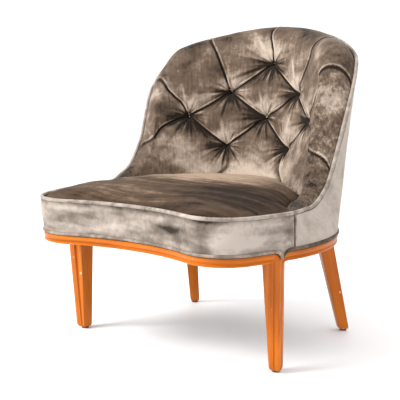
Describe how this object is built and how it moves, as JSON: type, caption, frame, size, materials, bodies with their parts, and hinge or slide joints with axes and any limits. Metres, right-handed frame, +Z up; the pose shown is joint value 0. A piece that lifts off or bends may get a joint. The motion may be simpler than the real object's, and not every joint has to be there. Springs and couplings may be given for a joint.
{
  "type": "slipper chair",
  "caption": "Low upholstered slipper chair with a curved diamond-tufted back sweeping into low arms, a crowned tight seat and a show-wood rail on tapered splayed legs.",
  "frame": {"origin": "on the floor, under the middle of the whole chair", "axes": "+Z up, the front of the seat towards -Y, +X to the chair's own left, picture right"},
  "size_m": [0.707, 0.6992, 0.7833],
  "materials": {
    "show_wood": "warm honey-orange hardwood under gloss lacquer, fine straight grain",
    "frame_wood": "plain unfinished hardwood",
    "glides": "dark dull nail-on glide",
    "screw_steel": "zinc-bright wood screw",
    "velvet_back": "brushed taupe pile velvet with strong silvery sheen",
    "velvet_outside": "brushed taupe pile velvet with strong silvery sheen",
    "velvet_seat": "brushed taupe pile velvet, pile crushed by use",
    "velvet_band": "brushed taupe pile velvet, paler where the pile lies flat",
    "velvet_welt": "self welt of the same pile velvet",
    "stuffing": "natural fibre stuffing and wadding",
    "hessian": "open woven jute cloth",
    "webbing": "jute strap",
    "spring_steel": "dark tempered spring wire",
    "clip_steel": "bright stamped steel",
    "twine": "waxed flax twine",
    "bottom_cloth": "black non-woven dust cloth"
  },
  "bodies": {
    "root": {"front_rail": "show_wood", "side_rail_right": "show_wood", "side_rail_left": "show_wood", "back_rail": "show_wood", "front_leg_left": "show_wood", "front_leg_right": "show_wood", "back_leg_left": "show_wood", "back_leg_right": "show_wood", "corner_block_front_left": "frame_wood", "corner_block_front_right": "frame_wood", "corner_block_back_left": "frame_wood", "corner_block_back_right": "frame_wood", "back_top_rail": "frame_wood", "back_liner_rail": "frame_wood", "back_stile_left": "frame_wood", "back_stile_right": "frame_wood", "scoop_board_left": "frame_wood", "scoop_board_right": "frame_wood", "arm_board_left": "frame_wood", "arm_board_right": "frame_wood", "joint_dowels": "frame_wood", "glide_front_left": "glides", "glide_front_right": "glides", "glide_back_left": "glides", "glide_back_right": "glides", "block_screws": "screw_steel", "inside_back_tufted": "velvet_back", "outside_back_cover": "velvet_outside", "seat_crowned_cover": "velvet_seat", "front_band": "velvet_band", "seat_welt": "velvet_welt", "base_welt_front": "velvet_welt", "base_welt_back": "velvet_welt", "back_edge_welt": "velvet_welt", "seam_welts_left": "velvet_welt", "seam_welts_right": "velvet_welt", "back_stuffing": "stuffing", "seat_stuffing": "stuffing", "seat_edge_roll": "stuffing", "seat_hessian": "hessian", "back_hessian": "hessian", "back_webbing": "webbing", "seat_springs": "spring_steel", "spring_clips": "clip_steel", "cloth_staples": "clip_steel", "spring_ties": "twine", "tuft_twines": "twine", "bottom_cloth": "bottom_cloth"}
  },
  "joints": []
}
